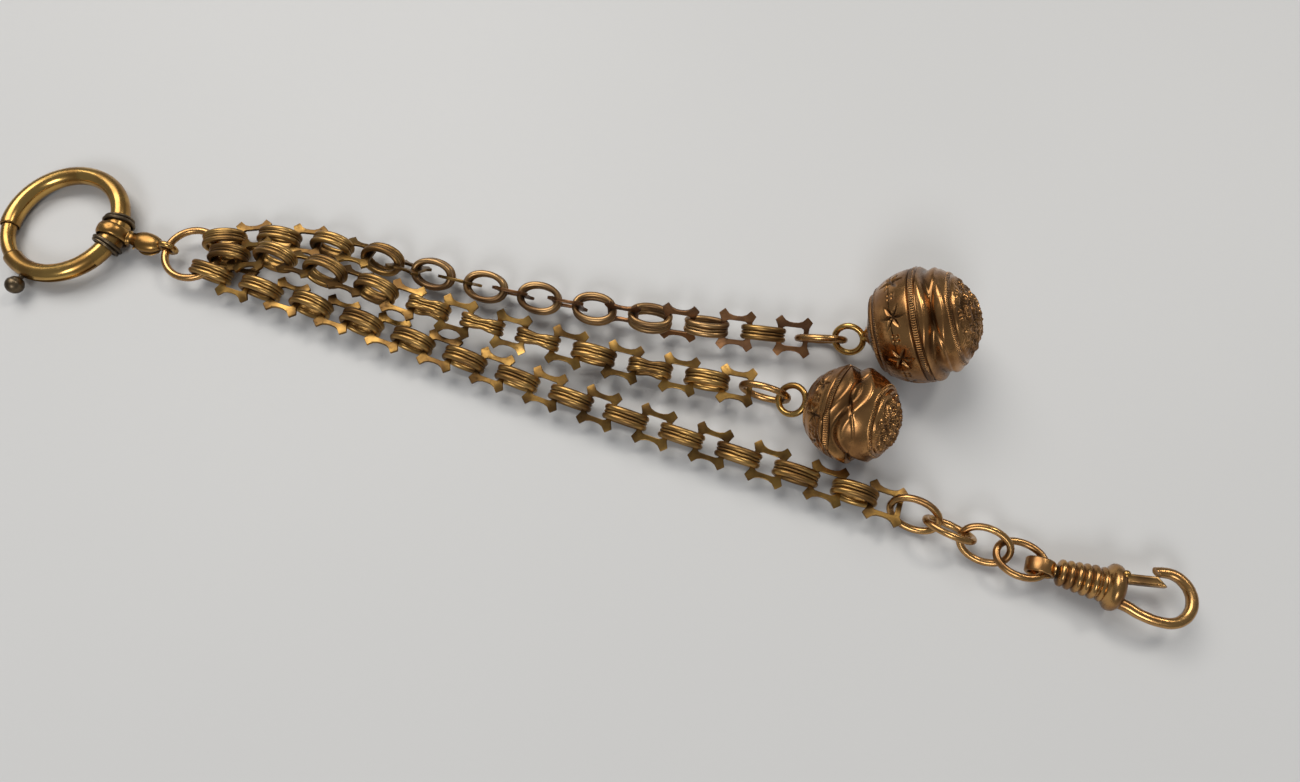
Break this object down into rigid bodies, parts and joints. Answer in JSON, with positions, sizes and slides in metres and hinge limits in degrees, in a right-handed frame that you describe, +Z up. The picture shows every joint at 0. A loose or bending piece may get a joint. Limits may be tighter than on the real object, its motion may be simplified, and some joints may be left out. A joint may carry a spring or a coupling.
{
  "type": "pocket watch chain",
  "caption": "Pocket watch chain: a sprung bolt ring and shackle carry strands of ribbed loops and pierced plates that end in hollow engraved balls and a swivel snap hook.",
  "frame": {"origin": "middle of the footprint on the surface the chain lies on", "axes": "+X from the bolt ring to the balls and the swivel hook, +Y away from a person who looks at it, +Z up off the surface"},
  "size_m": [0.155, 0.0648, 0.0152],
  "materials": {
    "yellow_gold": "polished yellow gilt with a worn brown underside",
    "dark_gilt": "dark tarnished gilt",
    "spring_steel": "drawn spring wire",
    "rosy_gold": "satin rosy gilt",
    "engraved_gilt": "engraved rosy gilt, dark in the grooves",
    "link_gilt": "satin gilt with brown tarnish"
  },
  "bodies": {
    "bolt_ring": {"bolt_ring_tube": "yellow_gold", "collar": "dark_gilt", "return_spring": "spring_steel"},
    "spring_bolt": {"spring_bolt": "yellow_gold", "thumb_knob": "dark_gilt"},
    "shackle": {"shackle": "yellow_gold"},
    "jump_ring": {"jump_ring": "rosy_gold"},
    "pair_a01": {"pair_a01": "link_gilt"},
    "pair_a02": {"pair_a02": "link_gilt"},
    "pair_a03": {"pair_a03": "link_gilt"},
    "pair_a04": {"pair_a04": "link_gilt"},
    "pair_a05": {"pair_a05": "link_gilt"},
    "pair_a06": {"pair_a06": "link_gilt"},
    "pair_a07": {"pair_a07": "link_gilt"},
    "pair_a08": {"pair_a08": "link_gilt"},
    "pair_a09": {"pair_a09": "link_gilt"},
    "pair_a10": {"pair_a10": "link_gilt"},
    "pair_a11": {"pair_a11": "link_gilt"},
    "wire_link_a": {"wire_link_a": "rosy_gold"},
    "big_ball": {"big_ball_eye": "yellow_gold", "big_ball_rear_shell": "engraved_gilt", "big_ball_dome_shell": "engraved_gilt"},
    "pair_b01": {"pair_b01": "link_gilt"},
    "pair_b02": {"pair_b02": "link_gilt"},
    "pair_b03": {"pair_b03": "link_gilt"},
    "pair_b04": {"pair_b04": "link_gilt"},
    "pair_b05": {"pair_b05": "link_gilt"},
    "pair_b06": {"pair_b06": "link_gilt"},
    "pair_b07": {"pair_b07": "link_gilt"},
    "pair_b08": {"pair_b08": "link_gilt"},
    "pair_b09": {"pair_b09": "link_gilt"},
    "pair_b10": {"pair_b10": "link_gilt"},
    "wire_link_b": {"wire_link_b": "rosy_gold"},
    "small_ball": {"small_ball_eye": "yellow_gold", "small_ball_rear_shell": "engraved_gilt", "small_ball_dome_shell": "engraved_gilt"},
    "pair_c01": {"pair_c01": "link_gilt"},
    "pair_c02": {"pair_c02": "link_gilt"},
    "pair_c03": {"pair_c03": "link_gilt"},
    "pair_c04": {"pair_c04": "link_gilt"},
    "pair_c05": {"pair_c05": "link_gilt"},
    "pair_c06": {"pair_c06": "link_gilt"},
    "pair_c07": {"pair_c07": "link_gilt"},
    "pair_c08": {"pair_c08": "link_gilt"},
    "pair_c09": {"pair_c09": "link_gilt"},
    "pair_c10": {"pair_c10": "link_gilt"},
    "pair_c11": {"pair_c11": "link_gilt"},
    "pair_c12": {"pair_c12": "link_gilt"},
    "pair_c13": {"pair_c13": "link_gilt"},
    "wire_link_c1": {"wire_link_c1": "rosy_gold"},
    "wire_link_c2": {"wire_link_c2": "rosy_gold"},
    "wire_link_c3": {"wire_link_c3": "rosy_gold"},
    "wire_link_c4": {"wire_link_c4": "rosy_gold"},
    "swivel_eye": {"swivel_eye": "rosy_gold"},
    "swivel_barrel": {"swivel_barrel": "rosy_gold", "hook": "rosy_gold", "gate_pin": "yellow_gold", "gate_spring": "spring_steel"},
    "gate": {"gate": "dark_gilt"}
  },
  "joints": [
    {"name": "bolt_slide", "type": "hinge", "parent": "bolt_ring", "child": "spring_bolt", "pos_m": [-0.06834, 0.02321, 0.00205], "axis": [-0.0674, 0.0181, 0.9976], "range_deg": [0, 38], "stiffness_Nm_per_rad": 0.004, "springref_deg": -17.19, "deforming": ["return_spring"]},
    {"name": "shackle_turn", "type": "hinge", "parent": "bolt_ring", "child": "shackle", "pos_m": [-0.06067, 0.02116, 0.00261], "axis": [0.2588, 0.9659, 0], "range_deg": [-90, 90]},
    {"name": "jump_ring_turn", "type": "hinge", "parent": "shackle", "child": "jump_ring", "pos_m": [-0.05304, 0.01912, 0.00238], "axis": [-0.2588, -0.9659, 0], "range_deg": [-35, 35]},
    {"name": "pair_a01_hinge", "type": "hinge", "parent": "jump_ring", "child": "pair_a01", "pos_m": [-0.04633, 0.02012, 0.00238], "axis": [-0.5299, 0.848, 0], "range_deg": [-10, 3]},
    {"name": "pair_a02_hinge", "type": "hinge", "parent": "pair_a01", "child": "pair_a02", "pos_m": [-0.03974, 0.02078, 0.00242], "axis": [0.0998, -0.9949, -0.0175], "range_deg": [-38, 8]},
    {"name": "pair_a03_hinge", "type": "hinge", "parent": "pair_a02", "child": "pair_a03", "pos_m": [-0.03227, 0.01986, 0.00245], "axis": [0.1223, 0.9919, -0.0349], "range_deg": [-38, 38]},
    {"name": "pair_a04_hinge", "type": "hinge", "parent": "pair_a03", "child": "pair_a04", "pos_m": [-0.02502, 0.01781, 0.00253], "axis": [-0.2595, -0.9032, 0.342], "range_deg": [-38, 38]},
    {"name": "pair_a05_hinge", "type": "hinge", "parent": "pair_a04", "child": "pair_a05", "pos_m": [-0.01792, 0.01533, 0.00273], "axis": [0.231, 0.6002, -0.7658], "range_deg": [-38, 1]},
    {"name": "pair_a06_hinge", "type": "hinge", "parent": "pair_a05", "child": "pair_a06", "pos_m": [-0.01068, 0.01323, 0.00289], "axis": [-0.14, -0.4159, 0.8986], "range_deg": [-1, 38]},
    {"name": "pair_a07_hinge", "type": "hinge", "parent": "pair_a06", "child": "pair_a07", "pos_m": [-0.00338, 0.0114, 0.00302], "axis": [0.0996, 0.3276, -0.9395], "range_deg": [-38, 1]},
    {"name": "pair_a08_hinge", "type": "hinge", "parent": "pair_a07", "child": "pair_a08", "pos_m": [0.00397, 0.00976, 0.00309], "axis": [-0.0689, -0.267, 0.9612], "range_deg": [-1, 38]},
    {"name": "pair_a09_hinge", "type": "hinge", "parent": "pair_a08", "child": "pair_a09", "pos_m": [0.01136, 0.00833, 0.00307], "axis": [-0.0091, -0.0338, -0.9994], "range_deg": [-38, 1]},
    {"name": "pair_a10_hinge", "type": "hinge", "parent": "pair_a09", "child": "pair_a10", "pos_m": [0.01879, 0.00712, 0.00298], "axis": [0.0995, 0.5504, 0.829], "range_deg": [-3, 38]},
    {"name": "pair_a11_hinge", "type": "hinge", "parent": "pair_a10", "child": "pair_a11", "pos_m": [0.02626, 0.00615, 0.00282], "axis": [-0.124, -0.8743, -0.4694], "range_deg": [-38, 11]},
    {"name": "wire_link_a_hinge", "type": "hinge", "parent": "pair_a11", "child": "wire_link_a", "pos_m": [0.03374, 0.00531, 0.00261], "axis": [0.1135, 0.9203, 0.3745], "range_deg": [-17, 40]},
    {"name": "big_ball_swing", "type": "hinge", "parent": "wire_link_a", "child": "big_ball", "pos_m": [0.03875, 0.00496, 0.00276], "axis": [0.0539, 0.3718, -0.9268], "range_deg": [-40, 12]},
    {"name": "pair_b01_hinge", "type": "hinge", "parent": "jump_ring", "child": "pair_b01", "pos_m": [-0.0458, 0.01771, 0.00238], "axis": [0.1219, 0.9925, 0], "range_deg": [-2, 1]},
    {"name": "pair_b02_hinge", "type": "hinge", "parent": "pair_b01", "child": "pair_b02", "pos_m": [-0.03881, 0.0169, 0.00453], "axis": [-0.125, -0.9916, 0.0334], "range_deg": [-1, 25]},
    {"name": "pair_b03_hinge", "type": "hinge", "parent": "pair_b02", "child": "pair_b03", "pos_m": [-0.03168, 0.01457, 0.00514], "axis": [0.3118, 0.8355, -0.4525], "range_deg": [-1, 0]},
    {"name": "pair_b04_hinge", "type": "hinge", "parent": "pair_b03", "child": "pair_b04", "pos_m": [-0.02463, 0.01191, 0.00508], "axis": [-0.3193, -0.8559, 0.4067], "range_deg": [0, 38]},
    {"name": "pair_b05_hinge", "type": "hinge", "parent": "pair_b04", "child": "pair_b05", "pos_m": [-0.01759, 0.00926, 0.00476], "axis": [0.3511, 0.9357, -0.0349], "range_deg": [-38, 1]},
    {"name": "pair_b06_hinge", "type": "hinge", "parent": "pair_b05", "child": "pair_b06", "pos_m": [-0.01043, 0.00694, 0.00468], "axis": [-0.3011, -0.9224, -0.2419], "range_deg": [-38, 38]},
    {"name": "pair_b07_hinge", "type": "hinge", "parent": "pair_b06", "child": "pair_b07", "pos_m": [-0.00319, 0.0049, 0.00431], "axis": [0.258, 0.827, 0.4994], "range_deg": [-38, 38]},
    {"name": "pair_b08_hinge", "type": "hinge", "parent": "pair_b07", "child": "pair_b08", "pos_m": [0.00407, 0.00304, 0.00357], "axis": [-0.2608, -0.9498, -0.1728], "range_deg": [-38, 38]},
    {"name": "pair_b09_hinge", "type": "hinge", "parent": "pair_b08", "child": "pair_b09", "pos_m": [0.01136, 0.00128, 0.00284], "axis": [0.2468, 0.9591, 0.1385], "range_deg": [-38, 38]},
    {"name": "pair_b10_hinge", "type": "hinge", "parent": "pair_b09", "child": "pair_b10", "pos_m": [0.01872, -0.00027, 0.00262], "axis": [-0.2071, -0.9628, -0.1736], "range_deg": [-38, 38]},
    {"name": "wire_link_b_hinge", "type": "hinge", "parent": "pair_b10", "child": "wire_link_b", "pos_m": [0.02611, -0.00175, 0.00255], "axis": [0.1962, 0.9781, 0.0698], "range_deg": [-40, 40]},
    {"name": "small_ball_swing", "type": "hinge", "parent": "wire_link_b", "child": "small_ball", "pos_m": [0.03089, -0.0033, 0.0027], "axis": [0.05, 0.0571, -0.9971], "range_deg": [-9, 6]},
    {"name": "pair_c01_hinge", "type": "hinge", "parent": "jump_ring", "child": "pair_c01", "pos_m": [-0.04695, 0.01545, 0.00238], "axis": [0.7314, 0.682, 0], "range_deg": [-1, 18]},
    {"name": "pair_c02_hinge", "type": "hinge", "parent": "pair_c01", "child": "pair_c02", "pos_m": [-0.04101, 0.01341, 0.00241], "axis": [-0.3202, -0.9313, -0.1736], "range_deg": [-38, 1]},
    {"name": "pair_c03_hinge", "type": "hinge", "parent": "pair_c02", "child": "pair_c03", "pos_m": [-0.03391, 0.01092, 0.00243], "axis": [0.3303, 0.9413, -0.0698], "range_deg": [-1, 38]},
    {"name": "pair_c04_hinge", "type": "hinge", "parent": "pair_c03", "child": "pair_c04", "pos_m": [-0.02684, 0.00832, 0.00244], "axis": [-0.3435, -0.9333, 0.1045], "range_deg": [-38, 1]},
    {"name": "pair_c05_hinge", "type": "hinge", "parent": "pair_c04", "child": "pair_c05", "pos_m": [-0.0198, 0.00566, 0.00244], "axis": [0.3517, 0.9335, -0.0698], "range_deg": [-1, 38]},
    {"name": "pair_c06_hinge", "type": "hinge", "parent": "pair_c05", "child": "pair_c06", "pos_m": [-0.01276, 0.00299, 0.00244], "axis": [-0.355, -0.9342, -0.0349], "range_deg": [-38, 1]},
    {"name": "pair_c07_hinge", "type": "hinge", "parent": "pair_c06", "child": "pair_c07", "pos_m": [-0.00573, 0.00027, 0.00244], "axis": [0.359, 0.9275, 0.1045], "range_deg": [-38, 38]},
    {"name": "pair_c08_hinge", "type": "hinge", "parent": "pair_c07", "child": "pair_c08", "pos_m": [0.00129, -0.00246, 0.00244], "axis": [-0.3566, -0.918, -0.1736], "range_deg": [-38, 38]},
    {"name": "pair_c09_hinge", "type": "hinge", "parent": "pair_c08", "child": "pair_c09", "pos_m": [0.00834, -0.0051, 0.00244], "axis": [0.3411, 0.9084, 0.2419], "range_deg": [-38, 38]},
    {"name": "pair_c10_hinge", "type": "hinge", "parent": "pair_c09", "child": "pair_c10", "pos_m": [0.01542, -0.00764, 0.00244], "axis": [-0.3241, -0.905, -0.2756], "range_deg": [-38, 38]},
    {"name": "pair_c11_hinge", "type": "hinge", "parent": "pair_c10", "child": "pair_c11", "pos_m": [0.02253, -0.01013, 0.00244], "axis": [0.3183, 0.907, 0.2756], "range_deg": [-38, 38]},
    {"name": "pair_c12_hinge", "type": "hinge", "parent": "pair_c11", "child": "pair_c12", "pos_m": [0.02963, -0.01263, 0.00244], "axis": [-0.3219, -0.9153, -0.2419], "range_deg": [-38, 38]},
    {"name": "pair_c13_hinge", "type": "hinge", "parent": "pair_c12", "child": "pair_c13", "pos_m": [0.03674, -0.01512, 0.00244], "axis": [0.3294, 0.9416, 0.0698], "range_deg": [-38, 38]},
    {"name": "wire_link_c1_hinge", "type": "hinge", "parent": "pair_c13", "child": "wire_link_c1", "pos_m": [0.04385, -0.0176, 0.00244], "axis": [-0.3289, -0.9418, 0.0698], "range_deg": [-40, 40]},
    {"name": "wire_link_c2_hinge", "type": "hinge", "parent": "wire_link_c1", "child": "wire_link_c2", "pos_m": [0.04841, -0.01973, 0.00244], "axis": [0.2484, 0.5327, 0.809], "range_deg": [-40, 40]},
    {"name": "wire_link_c3_hinge", "type": "hinge", "parent": "wire_link_c2", "child": "wire_link_c3", "pos_m": [0.05249, -0.02163, 0.00244], "axis": [0.2363, 0.5068, -0.829], "range_deg": [-40, 40]},
    {"name": "wire_link_c4_hinge", "type": "hinge", "parent": "wire_link_c3", "child": "wire_link_c4", "pos_m": [0.0566, -0.02346, 0.00244], "axis": [0.3116, 0.6998, 0.6428], "range_deg": [-25, 25]},
    {"name": "swivel_eye_hinge", "type": "hinge", "parent": "wire_link_c4", "child": "swivel_eye", "pos_m": [0.06077, -0.02515, 0.00244], "axis": [-0.3718, -0.9203, 0.1219], "range_deg": [-40, 40]},
    {"name": "swivel_turn", "type": "hinge", "parent": "swivel_eye", "child": "swivel_barrel", "pos_m": [0.06201, -0.02554, 0.00253], "axis": [0.9512, -0.2999, 0.0728], "continuous": true},
    {"name": "gate_hinge", "type": "hinge", "parent": "swivel_barrel", "child": "gate", "pos_m": [0.0691, -0.02641, 0.00304], "axis": [-0.0695, 0.0219, 0.9973], "range_deg": [-28, 0], "stiffness_Nm_per_rad": 0.001, "springref_deg": 17.19, "deforming": ["gate_spring"]}
  ]
}
